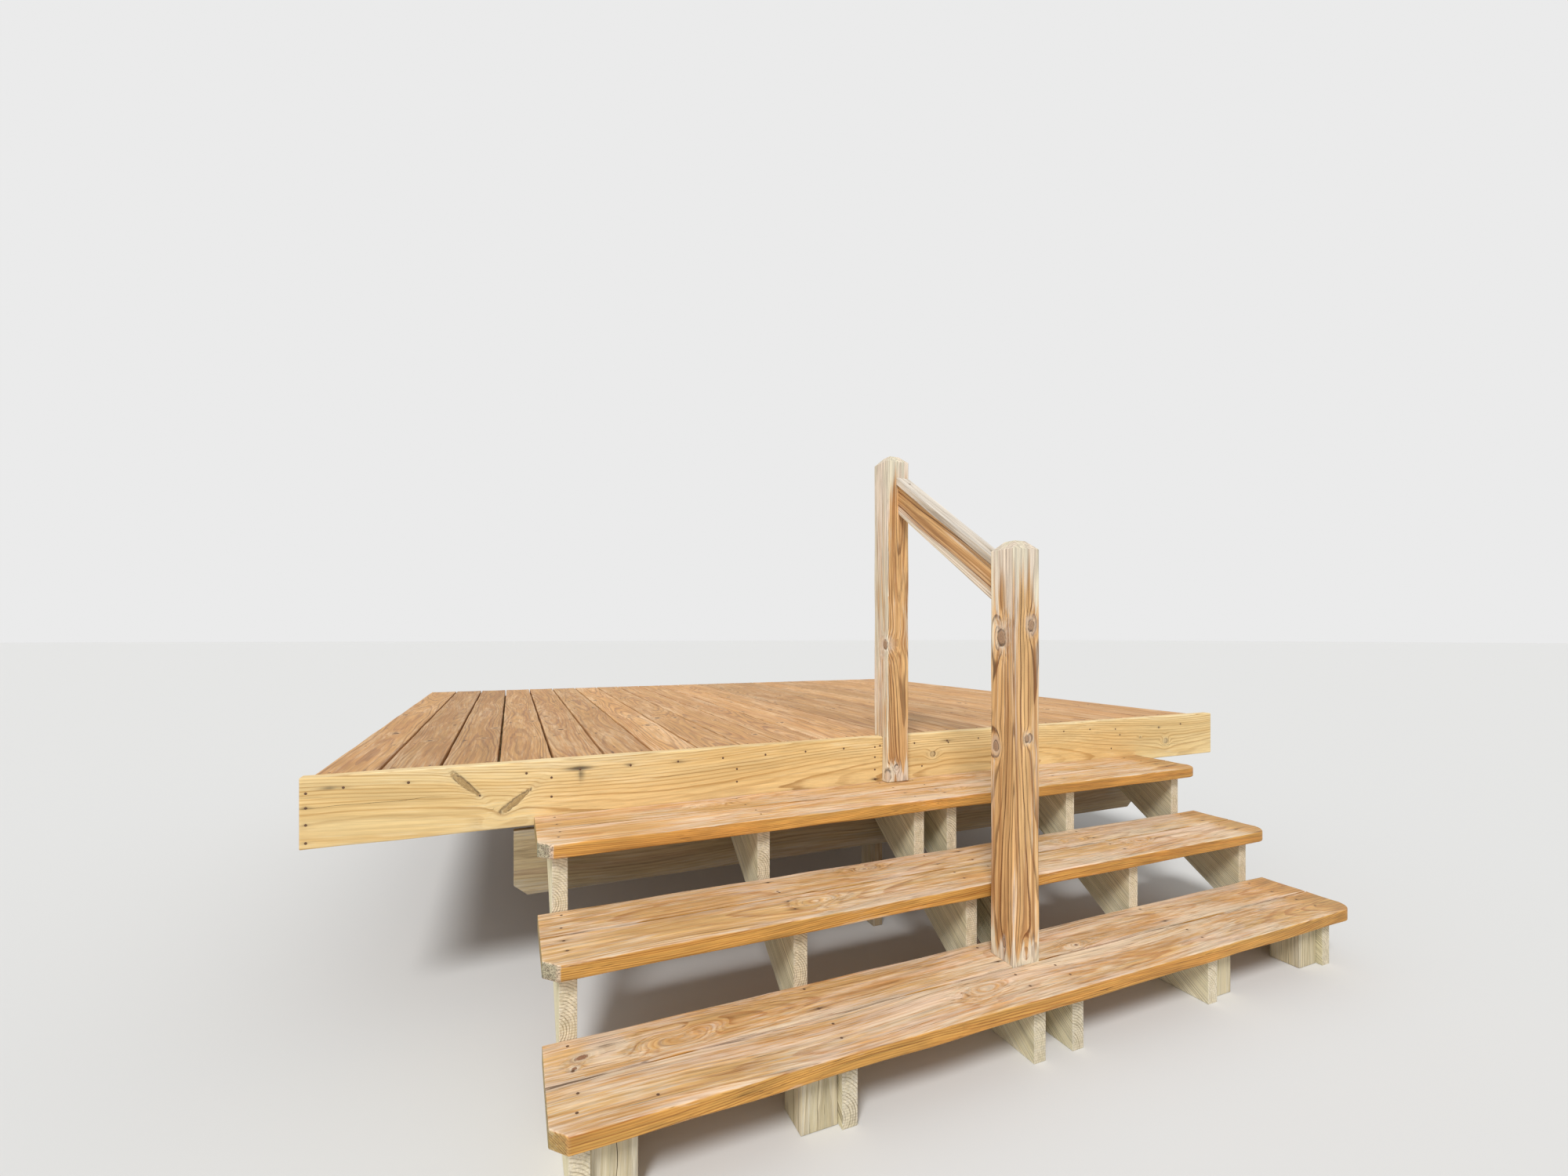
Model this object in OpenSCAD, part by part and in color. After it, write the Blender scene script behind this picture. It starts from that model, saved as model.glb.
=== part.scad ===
// Wooden deck with three wide steps and one handrail, for the front of a house.
// All sizes are millimetres. X runs along the front edge, +Y points to the house, +Z is up.
// The origin is the middle of the back ledger's face that is bolted to the house.

/* [Timber] */
// thickness of every plank, joist, ledger and stringer
plank_thick = 38; // [30:1:50]
// width of a deck, tread or joist plank
plank_width = 140; // [120:1:160]
// width of the front rim board and of the hanger board
wide_plank = 184; // [160:1:220]
// depth of a stringer from the tips of its teeth to its sloping back
stringer_depth = 213; // [200:1:260]
// side of a square post
post_side = 89; // [80:1:110]
// size of the 45 degree bevel round the top of a newel post
post_bevel = 25; // [10:1:35]
// radius of the eased long edges of planks and posts
ease = 4; // [1:0.5:8]

/* [Deck] */
// width of the framing between the two side walls
deck_width = 3376; // [3100:1:4200]
// depth of the deck from the back of the rim board to the house
deck_depth = 2662; // [1800:1:3600]
// smallest gap between two deck planks
deck_gap = 6; // [3:0.5:10]
// distance of the first deck plank from the left end of the framing
deck_start = 24; // [0:1:24]
// number of floor joists between the front joist and the back ledger
joist_count = 5; // [3:1:7]
// how far the rim board runs past the right end of the framing
rim_overrun = 114; // [0:1:200]

/* [Steps] */
// height from one tread to the next, and from the ground to the lowest tread
rise = 178; // [160:1:190]
// height from the top tread up to the deck
top_rise = 158; // [150:1:178]
// depth of one step from nosing to nosing
run = 254; // [240:1:275]
// length of the treads
tread_length = 2440; // [2300:1:2600]
// seam between the two planks of a tread
seam = 4; // [2:1:10]
// clipped corner at the left end of a tread's front plank
clip_left = 32; // [0:1:60]
// radius of the rounded corner at the right end of a tread's front plank
round_right = 58; // [10:1:80]
// distance of the treads from the left end of the framing
tread_start = 552; // [400:1:700]

/* [Stringers] */
// how far the treads run past the outer left stringer
side_left = 34; // [20:1:80]
// how far the treads run past the outer right stringer
side_right = 86; // [40:1:120]
// distance of the second stringer from the outer left one
middle_left = 552; // [450:1:650]
// distance of the fifth stringer from the fourth
middle_right = 521; // [450:1:650]
// how far the short posts stand behind the front face of the stringers
stub_back = 17; // [0:1:40]

/* [Hanger] */
// gap between the rim board and the hanger board below it
hanger_gap = 12; // [0:1:30]
// how far the hanger board runs past the left end of the treads
hanger_left = 54; // [0:1:100]
// how far the hanger board stops short of the right end of the treads
hanger_right = 12; // [0:1:60]
// width of the clipped lower corners of the hanger board
hanger_clip = 37; // [0:1:60]
// height of the clipped lower corners of the hanger board
hanger_clip_high = 31; // [0:1:60]
// how far the centre leg stands to the left of the newel posts' left side
leg_shift = 12; // [0:1:40]

/* [Handrail] */
// distance of the newel posts' middle from the left end of the treads
newel_place = 1200; // [1100:1:1300]
// height of the upper newel post above the deck
upper_high = 1000; // [960:1:1100]
// height of the lower newel post above the deck
lower_high = 615; // [590:1:700]
// thickness of the upper post's lap that hangs in front of the rim board
upper_lap = 36; // [25:1:50]
// height of the cap's top above the deck, at the upper post
cap_high_end = 919; // [880:1:930]
// height of the cap's top above the deck, at the lower post
cap_low_end = 558; // [520:1:562]
// width of the handrail's cap
cap_width = 52; // [44:1:80]
// thickness of the handrail's cap
cap_thick = 22; // [16:1:30]
// depth of the rail under the cap
under_depth = 85; // [60:1:100]
// how far the rail's sides stand in from the cap's sides
under_inset = 7; // [2:1:7]

/* [Hidden] */
steps = 3;
tread_depth = 2 * plank_width + seam;
nosing = tread_depth - run;
left_end = -deck_width / 2;
right_end = deck_width / 2;
rim_face = -deck_depth - plank_thick;
rim_back = -deck_depth;
joist_bottom = -plank_width / 2;
joist_top = plank_width / 2;
deck_top = joist_top + plank_thick;
ground = deck_top - top_rise - steps * rise;
slope = atan(rise / run);
joist_front = rim_back + plank_thick;
joist_back = -plank_thick;
joist_step = (joist_back - joist_front + plank_thick) / (joist_count + 1);
deck_count = floor((deck_width - deck_start + deck_gap) / (plank_width + deck_gap) + 0.001);
board_pitch = (deck_width - deck_start - plank_width) / (deck_count - 1);
bay_count = ceil(deck_count / 6);

tread_left = left_end + tread_start;
tread_right = tread_left + tread_length;
newel_left = tread_left + newel_place - post_side / 2;
newel_right = newel_left + post_side;
lower_front = rim_face - (steps - 1) * run - nosing - run + plank_width;
upper_front = rim_face - upper_lap;
lower_back = lower_front + post_side;
rail_run = upper_front - lower_back;
rail_slope = atan((cap_high_end - cap_low_end) / rail_run);

outer_left = tread_left + side_left;
inner_left = newel_left - plank_thick;
inner_right = newel_right;
outer_right = tread_right - side_right - plank_thick;
stringer_x = [
    outer_left,
    outer_left + middle_left,
    inner_left,
    inner_right,
    inner_right + middle_right,
    outer_right
];
hanger_top = deck_top - wide_plank - hanger_gap;
toe_y = rim_face - steps * run;

deck_tone = [0.66, 0.45, 0.28];
tread_tone = [0.80, 0.58, 0.36];
rim_tone = [0.82, 0.68, 0.44];
frame_tone = [0.55, 0.50, 0.38];
pale_tone = [0.80, 0.77, 0.66];
post_tone = [0.74, 0.58, 0.38];
cap_tone = [0.76, 0.74, 0.68];

$fn = 48;

// A profile drawn in Y and Z, given its width along X from the place x.
module along_x(x, width) {
    translate([x, 0, 0])
        rotate([90, 0, 90])
            linear_extrude(width)
                children();
}

// A profile drawn in X and Z, given its depth along Y from the place y.
module along_y(y, depth) {
    translate([0, y + depth, 0])
        rotate([90, 0, 0])
            linear_extrude(depth)
                children();
}

// A rectangle with its corners eased, from the origin.
module eased(width, height) {
    translate([ease, 0])
        square([width - 2 * ease, height]);
    translate([0, ease])
        square([width, height - 2 * ease]);
    for (x = [ease, width - ease])
        for (y = [ease, height - ease])
            translate([x, y])
                circle(ease);
}

// A plank that lies along X, with its long edges eased.
module plank_x(size) {
    along_x(0, size[0])
        eased(size[1], size[2]);
}

// A plank that lies along Y, with its long edges eased.
module plank_y(size) {
    along_y(0, size[1])
        eased(size[0], size[2]);
}

// The front board that closes the deck; its top is level with the deck planks.
module front_rim() {
    color(rim_tone)
        translate([left_end, rim_face, deck_top - wide_plank])
            plank_x([deck_width + rim_overrun, plank_thick, wide_plank]);
}

// The joist behind the rim board, which carries the front ends of the deck planks.
module front_joist() {
    color(frame_tone)
        translate([left_end, rim_back, joist_bottom])
            plank_x([deck_width, plank_thick, plank_width]);
}

// A ledger along one side wall.
module side_ledger(x) {
    color(frame_tone)
        translate([x, joist_front, joist_bottom])
            plank_y([plank_thick, joist_back - joist_front, plank_width]);
}

module left_ledger() {
    side_ledger(left_end);
}

module right_ledger() {
    side_ledger(right_end - plank_thick);
}

// The ledger bolted to the house.
module back_ledger() {
    color(frame_tone)
        translate([left_end, joist_back, joist_bottom])
            plank_x([deck_width, plank_thick, plank_width]);
}

// A floor joist between the side ledgers; the first is next to the front joist.
module floor_joist(number) {
    if (number <= joist_count)
        color(frame_tone)
            translate([left_end + plank_thick, rim_back + number * joist_step, joist_bottom])
                plank_x([deck_width - 2 * plank_thick, plank_thick, plank_width]);
}

module floor_joist_1() {
    floor_joist(1);
}

module floor_joist_2() {
    floor_joist(2);
}

module floor_joist_3() {
    floor_joist(3);
}

module floor_joist_4() {
    floor_joist(4);
}

module floor_joist_5() {
    floor_joist(5);
}

// A sixth of the deck: the planks of the bay with the given number, counted from the left.
module deck_boards(bay) {
    first = (bay - 1) * bay_count;
    last = min(bay * bay_count, deck_count) - 1;
    color(deck_tone)
        for (number = [first : 1 : last])
            translate([left_end + deck_start + number * board_pitch, rim_back, joist_top])
                plank_y([plank_width, deck_depth, plank_thick]);
}

module deck_boards_1() {
    deck_boards(1);
}

module deck_boards_2() {
    deck_boards(2);
}

module deck_boards_3() {
    deck_boards(3);
}

module deck_boards_4() {
    deck_boards(4);
}

module deck_boards_5() {
    deck_boards(5);
}

module deck_boards_6() {
    deck_boards(6);
}

// The board under the rim that the stringers are nailed to.
module hanger_board() {
    low = hanger_top - wide_plank;
    first = tread_left - hanger_left;
    last = tread_right - hanger_right;
    color(frame_tone)
        along_y(rim_face, plank_thick)
            polygon([
                [first, hanger_top],
                [first, low + hanger_clip_high],
                [first + hanger_clip, low],
                [last - hanger_clip, low],
                [last, low + hanger_clip_high],
                [last, hanger_top]
            ]);
}

// The leg that holds the hanger board and the front joist above the ground.
module centre_leg() {
    color(frame_tone)
        translate([newel_left - leg_shift, rim_back, ground])
            cube([plank_thick, post_side, joist_bottom - ground]);
}

// One sawn stringer: three seats, three upright faces, a flat foot and a sloping back.
module stringer(number) {
    seat_1 = ground + rise - plank_thick;
    drop = stringer_depth / cos(slope);
    foot_end = toe_y + (ground - seat_1 + drop) / tan(slope);
    back_low = seat_1 + steps * rise - drop;
    color(pale_tone)
        along_x(stringer_x[number - 1], plank_thick)
            polygon([
                [toe_y, ground],
                [toe_y, seat_1],
                [toe_y + run, seat_1],
                [toe_y + run, seat_1 + rise],
                [toe_y + 2 * run, seat_1 + rise],
                [toe_y + 2 * run, seat_1 + 2 * rise],
                [rim_face, seat_1 + 2 * rise],
                [rim_face, back_low],
                [foot_end, ground]
            ]);
}

module stringer_1() {
    stringer(1);
}

module stringer_2() {
    stringer(2);
}

module stringer_3() {
    stringer(3);
}

module stringer_4() {
    stringer(4);
}

module stringer_5() {
    stringer(5);
}

module stringer_6() {
    stringer(6);
}

// The outline of a tread's front plank: clipped at the left, rounded at the right.
module front_outline() {
    polygon([
        [clip_left, 0],
        [tread_length - round_right, 0],
        [tread_length, round_right],
        [tread_length, plank_width],
        [0, plank_width],
        [0, clip_left]
    ]);
    translate([tread_length - round_right, round_right])
        circle(round_right);
}

// The front plank of a tread.
module tread_front(step) {
    front = toe_y + (step - 1) * run - nosing;
    color(tread_tone)
        translate([tread_left, front, ground + step * rise - plank_thick])
            intersection() {
                linear_extrude(plank_thick)
                    front_outline();
                plank_x([tread_length, plank_width, plank_thick]);
            }
}

// The rear plank of a tread, which ends against the next upright face.
module tread_rear(step) {
    front = toe_y + step * run - plank_width;
    color(tread_tone)
        translate([tread_left, front, ground + step * rise - plank_thick])
            plank_x([tread_length, plank_width, plank_thick]);
}

module tread_1_front() {
    tread_front(1);
}

// The lowest rear plank is notched round the lower newel post.
module tread_1_rear() {
    color(tread_tone)
        difference() {
            tread_rear(1);
            translate([newel_left, lower_front, ground])
                cube([post_side, post_side, steps * rise]);
        }
}

module tread_2_front() {
    tread_front(2);
}

module tread_2_rear() {
    tread_rear(2);
}

module tread_3_front() {
    tread_front(3);
}

module tread_3_rear() {
    tread_rear(3);
}

// A square post with eased edges, standing on the ground.
module square_post(x, front, high) {
    translate([x, front, ground])
        linear_extrude(high)
            eased(post_side, post_side);
}

// A short post under the lowest tread, beside a stringer.
module stub_post(x) {
    color(pale_tone)
        square_post(x, toe_y + stub_back, rise - plank_thick);
}

module stub_post_1() {
    stub_post(stringer_x[0] + plank_thick);
}

module stub_post_2() {
    stub_post(stringer_x[1] - post_side);
}

module stub_post_3() {
    stub_post(stringer_x[4] + plank_thick);
}

module stub_post_4() {
    stub_post(stringer_x[5] - post_side);
}

// A square newel post seen from the front, with the bevels of its two sides.
module newel_stock(front, top) {
    along_y(front, post_side)
        polygon([
            [newel_left, ground],
            [newel_right, ground],
            [newel_right, top - post_bevel],
            [newel_right - post_bevel, top],
            [newel_left + post_bevel, top],
            [newel_left, top - post_bevel]
        ]);
}

// The lower newel post: from the ground, between the paired stringers, up through the tread.
module newel_lower() {
    top = deck_top + lower_high;
    color(post_tone)
        intersection() {
            newel_stock(lower_front, top);
            square_post(newel_left, lower_front, top - ground);
            along_x(newel_left, post_side)
                polygon([
                    [lower_front, ground],
                    [lower_back, ground],
                    [lower_back, top - post_bevel],
                    [lower_back - post_bevel, top],
                    [lower_front + post_bevel, top],
                    [lower_front, top - post_bevel]
                ]);
        }
}

// The upper newel post: it stands on the deck, and its lap reaches down to the top tread.
module newel_upper() {
    top = deck_top + upper_high;
    back = upper_front + post_side;
    color(post_tone)
        intersection() {
            newel_stock(upper_front, top);
            square_post(newel_left, upper_front, top - ground);
            along_x(newel_left, post_side)
                polygon([
                    [upper_front, deck_top - top_rise],
                    [rim_face, deck_top - top_rise],
                    [rim_face, deck_top],
                    [back, deck_top],
                    [back, top - post_bevel],
                    [back - post_bevel, top],
                    [upper_front + post_bevel, top],
                    [upper_front, top - post_bevel]
                ]);
        }
}

// A sloping bar between the two newel posts, drop being its top's distance under the cap's top.
module sloping_bar(x, width, drop, depth) {
    high = deck_top + cap_high_end - drop;
    low = deck_top + cap_low_end - drop;
    along_x(x, width)
        polygon([
            [lower_back, low],
            [lower_back, low - depth],
            [upper_front, high - depth],
            [upper_front, high]
        ]);
}

// The flat cap of the handrail, level with the posts' right side.
module rail_cap() {
    color(cap_tone)
        sloping_bar(newel_right - cap_width, cap_width, 0, cap_thick / cos(rail_slope));
}

// The rail on edge under the cap.
module rail_under() {
    drop = cap_thick / cos(rail_slope);
    x = newel_right - cap_width + under_inset;
    color(post_tone)
        sloping_bar(x, cap_width - 2 * under_inset, drop, under_depth / cos(rail_slope));
}

front_rim();
front_joist();
left_ledger();
right_ledger();
back_ledger();
floor_joist_1();
floor_joist_2();
floor_joist_3();
floor_joist_4();
floor_joist_5();
deck_boards_1();
deck_boards_2();
deck_boards_3();
deck_boards_4();
deck_boards_5();
deck_boards_6();
hanger_board();
centre_leg();
stringer_1();
stringer_2();
stringer_3();
stringer_4();
stringer_5();
stringer_6();
tread_1_front();
tread_1_rear();
tread_2_front();
tread_2_rear();
tread_3_front();
tread_3_rear();
stub_post_1();
stub_post_2();
stub_post_3();
stub_post_4();
newel_lower();
newel_upper();
rail_cap();
rail_under();
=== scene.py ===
from collections import namedtuple

import bpy
import numpy as np
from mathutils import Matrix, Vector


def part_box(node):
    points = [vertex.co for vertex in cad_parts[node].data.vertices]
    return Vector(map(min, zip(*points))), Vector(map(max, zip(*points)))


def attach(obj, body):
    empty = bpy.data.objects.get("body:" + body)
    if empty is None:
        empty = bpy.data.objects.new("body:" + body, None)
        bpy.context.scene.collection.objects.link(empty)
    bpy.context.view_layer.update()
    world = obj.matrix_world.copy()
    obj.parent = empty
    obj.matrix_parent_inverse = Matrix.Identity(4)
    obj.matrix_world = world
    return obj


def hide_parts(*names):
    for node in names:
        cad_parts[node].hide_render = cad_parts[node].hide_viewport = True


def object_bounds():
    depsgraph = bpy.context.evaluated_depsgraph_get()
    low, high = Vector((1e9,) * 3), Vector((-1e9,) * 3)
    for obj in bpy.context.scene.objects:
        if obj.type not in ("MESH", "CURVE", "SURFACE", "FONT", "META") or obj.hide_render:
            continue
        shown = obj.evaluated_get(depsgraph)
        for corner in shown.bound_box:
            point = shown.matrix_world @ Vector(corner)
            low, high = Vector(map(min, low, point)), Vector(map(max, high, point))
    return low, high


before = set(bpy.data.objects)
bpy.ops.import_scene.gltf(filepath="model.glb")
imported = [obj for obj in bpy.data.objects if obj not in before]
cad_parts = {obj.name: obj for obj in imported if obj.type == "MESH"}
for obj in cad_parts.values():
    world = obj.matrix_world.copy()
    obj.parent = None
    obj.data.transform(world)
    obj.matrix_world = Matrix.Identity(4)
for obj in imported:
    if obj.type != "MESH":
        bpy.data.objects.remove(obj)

cad_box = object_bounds()


# The camera stands low in front of the steps, near their left end, and looks to the
# right across them. It is level, with a very wide lens, and its picture is shifted up a little.
EYE = (-1.1959, -4.6645, 0.4644)
TURN = 23.17
LENS = 14.702
SHIFT = (-0.00086, 0.03094)


def add_object(name, data):
    """A new object with this data, linked into the scene."""
    made = bpy.data.objects.new(name, data)
    bpy.context.scene.collection.objects.link(made)
    return made


camera_data = bpy.data.cameras.new("camera")
camera_data.lens = LENS
camera_data.sensor_width = 36.0
camera_data.shift_x, camera_data.shift_y = SHIFT
camera_data.clip_start, camera_data.clip_end = 0.02, 400.0
camera = add_object("camera", camera_data)
camera.location = EYE
camera.rotation_euler = (np.pi / 2, 0.0, -np.radians(TURN))
bpy.context.scene.camera = camera


# The hidden framing is treated softwood on edge: a ledger at the back, one at each side, a
# front joist and five floor joists between them. They are nailed end to face.
X, Y, Z = (1, 0, 0), (0, 1, 0), (0, 0, 1)
BACK, LEFT = (0, -1, 0), (-1, 0, 0)
KNOT_REACH = 2.6        # how far a knot is felt, in its own radii
FACES = np.array([(1, 0), (0, 1), (-1, 0), (0, -1)])        # outward, in the section's two axes
Stick = namedtuple("Stick", "verts quads fans log marks lots knot heads")


def slow_wave(place, reach, seed):
    """A smooth wave from about -1 to 1 along a line: a sum of sines whose lengths are spread
    round `reach` metres, with phases and strengths drawn from the seed."""
    sines = 5
    draw = np.random.default_rng(seed)
    length = reach * draw.uniform(0.5, 1.8, sines)
    phase = draw.uniform(0.0, 2.0 * np.pi, sines)
    weight = draw.uniform(0.4, 1.0, sines)
    wave = np.sin(2.0 * np.pi * place[..., None] / length + phase) * weight
    return wave.sum(-1) / np.sqrt((weight ** 2).sum() * 2.0)


def bell(x, reach):
    """A bell curve: 1 at nought, falling off over `reach` to both sides."""
    return np.exp(-(x / reach) ** 2)


def section_columns(counts, cracks):
    """The points round a rounded rectangle, anticlockwise from its first side. A point is
    (h - r) * q + r * n: q is its place on the inner rectangle, from -1 to 1, and n the outward
    direction. `counts` gives the steps on the four sides. Each crack adds three points: its
    lips, whose role is -1 and 1, and its bottom, whose role is 0."""
    corner = np.radians(np.linspace(0.0, 90.0, 5))
    columns = []
    for side in range(4):
        turned = -1.0 if side in (1, 2) else 1.0
        steps = np.linspace(-1.0, 1.0, counts[side] + 1)[1:-1]
        owner = np.full(len(steps), -1)
        part = np.zeros(len(steps))
        for number, (crack_side, across, *_) in enumerate(cracks):
            if crack_side == side:
                steps = np.append(steps, [across * turned] * 3)
                owner = np.append(owner, [number] * 3)
                part = np.append(part, [-1.0, 0.0, 1.0])
        order = np.lexsort((part, steps))
        steps, owner, part = steps[order], owner[order], part[order]
        turn = side * np.pi / 2.0
        c, s = np.round(np.cos(turn)), np.round(np.sin(turn))
        columns.append((np.stack([c - s * steps, s + c * steps], 1),
                        np.tile([c, s], (len(steps), 1)), owner, part))
        columns.append((np.tile([c - s, s + c], (len(corner), 1)),
                        np.stack([np.cos(turn + corner), np.sin(turn + corner)], 1),
                        np.full(len(corner), -1), np.zeros(len(corner))))
    return [np.concatenate(values) for values in zip(*columns)]


def section_rows(length, step, blunt, stops, knots, cracks, nails):
    """Where the cross sections stand along a stick: evenly, at each stop, and closer together
    over knots, cracks and nails."""
    over_knot, over_crack, over_nail, least = 0.0032, 0.011, 0.006, 0.0009
    even = np.linspace(0.0, length, max(int(round(length / step)), 2) + 1)
    rows = [even, np.array(stops, float)]
    for _, at, _, radius, stretch, _, _ in knots:
        reach = KNOT_REACH * radius * max(stretch, 1.0)
        rows.append(at + np.linspace(-reach, reach, 2 * int(reach / over_knot) + 1))
    for _, _, start, stop, _, _ in cracks:
        rows.append(np.linspace(start, stop, int((stop - start) / over_crack) + 2))
    for _, at, _ in nails:
        rows.append(at + np.array([-over_nail, 0.0, over_nail]))
    rows = np.sort(np.concatenate(rows))
    rows = rows[(rows > blunt * 1.2) & (rows < length - blunt * 1.2)]
    keep = np.append(True, np.diff(rows) > least)
    for stop in stops:
        keep |= np.isclose(rows, stop, atol=1e-7)
    return rows[keep]


def section_faces(rows, columns):
    """The faces of a stick: four-sided ones between neighbouring cross sections, and at each
    end a fan of triangles round a middle point."""
    i = np.arange(rows - 1)[:, None] * columns
    j = np.arange(columns)
    j_next = (j + 1) % columns
    quads = np.stack([i + j, i + j_next, i + columns + j_next, i + columns + j], -1)
    end, middle = (rows - 1) * columns, rows * columns
    start_fan = np.stack([np.full(columns, middle), j_next, j], 1)
    end_fan = np.stack([np.full(columns, middle + 1), end + j, end + j_next], 1)
    return quads.reshape(-1, 4), np.concatenate([start_fan, end_fan])


def stick(axes, corner, length, wide, thick, seed, step=0.03, counts=(6, 16, 6, 16),
          ease=0.004, blunt=0.002, low=None, high=None, near=None, far=None, stops=(), knots=(),
          cracks=(), nails=(), smears=(), pith=None, ring_drift=0.012, cup=0.0, worn=0.0006,
          swell=1.7, snug=(1.0, 1.0), weather=None):
    """One sawn stick as a closed surface: a rounded rectangle carried along the first axis.
    The section runs from low(l) to high(l) on the second axis and near(l) to far(l) on the third.
    Its points move inwards by a slow wave, by the cup of the plank, and in each crack and nail
    dimple. Marks for the material go with each point: its place in the log, its place round the
    nearest knot in knot radii and how loose that knot is, how near a long edge it is, how near a
    stain, how much painted shade lies at the bottom of a crack, how weathered, and how far the cut
    shows the grain end on. Sides 0 to 3 are +second, +third, -second, -third. `snug` scales the
    eased edges at the low and high end of the second axis. A knot is (side, along, across, radius,
    stretch, tilt, loose), and only bends the grain if loose is below 0. A crack is (side, across
    from -1 to 1, start, stop, width, depth), a nail (side, along, across), a smear (side, along,
    across, length, width, strength).
    """
    draw = np.random.default_rng(seed)
    along, across, out = (np.array(a, float) for a in axes)

    # The rows: each end closes in rings and has its sharp edge taken off in three steps.
    rows = section_rows(length, step, blunt, stops, knots, cracks, nails)
    turn = np.radians([0.0, 30.0, 60.0, 90.0])
    edge_at, edge_in = blunt * (1.0 - np.cos(turn)), blunt * (1.0 - np.sin(turn))
    shrink = np.linspace(0.0, 1.0, 6)[1:-1]
    caps = len(shrink)
    l = np.concatenate([np.zeros(caps), edge_at, rows, length - edge_at[::-1],
                        np.full(caps, length)])
    inset = np.concatenate([np.full(caps, blunt), edge_in, np.zeros(len(rows)), edge_in[::-1],
                            np.full(caps, blunt)])
    scale = np.concatenate([shrink, np.ones(len(l) - 2 * caps), shrink[::-1]])

    # The columns: the long edges are eased unevenly, and each crack parts its lips, sinks its
    # bottom, marks it for painted shade and carries the points beside it along as it wanders.
    q, n, crack_of, role = section_columns(counts, cracks)
    on_face = n @ FACES.T > 0.99
    bottom, top, front, back = (edge(l) if edge else np.full_like(l, level) for edge, level in
                                ((low, 0.0), (high, wide), (near, 0.0), (far, thick)))
    half = np.stack([(top - bottom) / 2.0, (back - front) / 2.0], 1)
    round_off = ease * (1.0 + 0.45 * slow_wave(l, 0.35, seed + 11))
    round_off = np.minimum(round_off, 0.8 * half.min(1))[:, None, None]
    round_off = round_off * np.interp(q[:, 0], [-1.0, 1.0], snug)[None, :, None]
    place = np.repeat(q[None], len(l), 0)
    dip = np.zeros((len(l), len(q)))
    stain_and_crack_shade = np.zeros((len(l), len(q)))
    least_gap, wander = 0.00012, 0.0022
    for number, (side, _, start, stop, width, deep) in enumerate(cracks):
        taper = np.clip(np.minimum(l - start, stop - l) / (0.3 * (stop - start)), 0.0, 1.0)
        opening = np.sqrt(taper) * (0.75 + 0.25 * slow_wave(l, 0.05, seed + number))
        mine = crack_of == number
        axis = 0 if side in (1, 3) else 1
        turned = -1.0 if side in (1, 2) else 1.0
        span = (half - round_off[:, 0])[:, axis]
        shift = (least_gap + 0.5 * width * opening) / span
        drift = wander * slow_wave(l, 0.16, seed + 40 + side) / span
        if side not in [crack[0] for crack in cracks[:number]]:
            now = place[:, on_face[:, side], axis]
            place[:, on_face[:, side], axis] = now + drift[:, None] * (1.0 - now ** 2)
        place[:, mine, axis] += turned * shift[:, None] * role[mine]
        bottom_of = mine & (role == 0)
        dip[:, bottom_of] -= (deep * opening)[:, None]
        # Painted shade: the crack's bottom is marked to be drawn dark.
        stain_and_crack_shade[:, bottom_of] = np.clip(opening * 3.0, 0.0, 1.0)[:, None]

    # The surface: s and t are a point's place on the second and third axis, run on the first.
    end_round = np.maximum(round_off - inset[:, None, None], 0.0)
    section = (half[:, None, :] - round_off) * place + end_round * n[None]
    around = np.arctan2(n[:, 1], n[:, 0])[None] + 0 * l[:, None]
    wave = slow_wave(l[:, None] + 0.03 * np.cos(around * 2.0 + seed), 0.4, seed + 3)
    inward = -worn * (0.5 + 0.5 * np.clip(wave, -1.0, 1.0))
    flat = np.abs(n[None, :, 1]) * (1.0 - np.clip(np.abs(place[..., 0]), 0.0, 1.0) ** 2)
    inward = inward - cup * flat * (n[None, :, 1] > 0) + dip
    section = (section + inward[..., None] * n[None]) * scale[:, None, None]
    s = section[..., 0] + ((top + bottom) / 2.0)[:, None]
    t = section[..., 1] + ((back + front) / 2.0)[:, None]
    run = l[:, None] + 0 * s

    def beside(side, line):
        """How far each point lies from a line that runs along the stick on one face."""
        return (s if side in (1, 3) else t) - line

    # The log: the grain bends round each knot and swells over it. The knot's growth rings run
    # into the wood, its edge is a shallow groove, and a loose one has a gap on one side.
    if pith is None:
        pith = (wide * draw.uniform(0.2, 0.8), -draw.uniform(0.03, 0.11))
    log_a = s - pith[0] + ring_drift * slow_wave(run, 1.4, seed + 5)
    log_b = t - pith[1] + ring_drift * slow_wave(run, 1.9, seed + 6)
    knot_place = np.zeros(s.shape + (3,))
    knot_place[..., 2] = 4.0        # far from every knot
    loosened = np.zeros(s.shape)
    depth_from = (top[:, None] - s, back[:, None] - t, s - bottom[:, None], t - front[:, None])
    bend_depth, hump, groove, gap_depth = 0.05, 0.0006, 0.0010, 0.003
    for side, at, line, radius, stretch, tilt, loose in knots:
        away = beside(side, line)
        tip = np.radians(tilt)
        u = ((run - at) * np.cos(tip) + away * np.sin(tip)) / stretch
        v = -(run - at) * np.sin(tip) + away * np.cos(tip)
        v = v * (1.0 + min(0.16 * (stretch - 1.0), 0.3) * np.clip(u / radius, -1.0, 1.0))
        apart = np.sqrt(u ** 2 + v ** 2) / radius
        spike = stretch > 3.0
        flow = 1.0 if spike else 0.5
        bent = v / np.maximum((flow * u / radius) ** 2 + (v / radius) ** 2, 1.0)
        bent = bent * bell(depth_from[side], bend_depth)
        swelling = (0.6 if spike else swell) * radius * bell(apart, 2.2)
        if side in (1, 3):
            log_a, log_b = log_a - bent, log_b + swelling
        else:
            log_a, log_b = log_a + swelling, log_b - bent
        if loose < 0:
            continue
        deep_in = 50.0 * np.maximum(depth_from[side], 0.0)
        nearest = np.hypot(apart, deep_in) < np.linalg.norm(knot_place, axis=-1)
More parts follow.
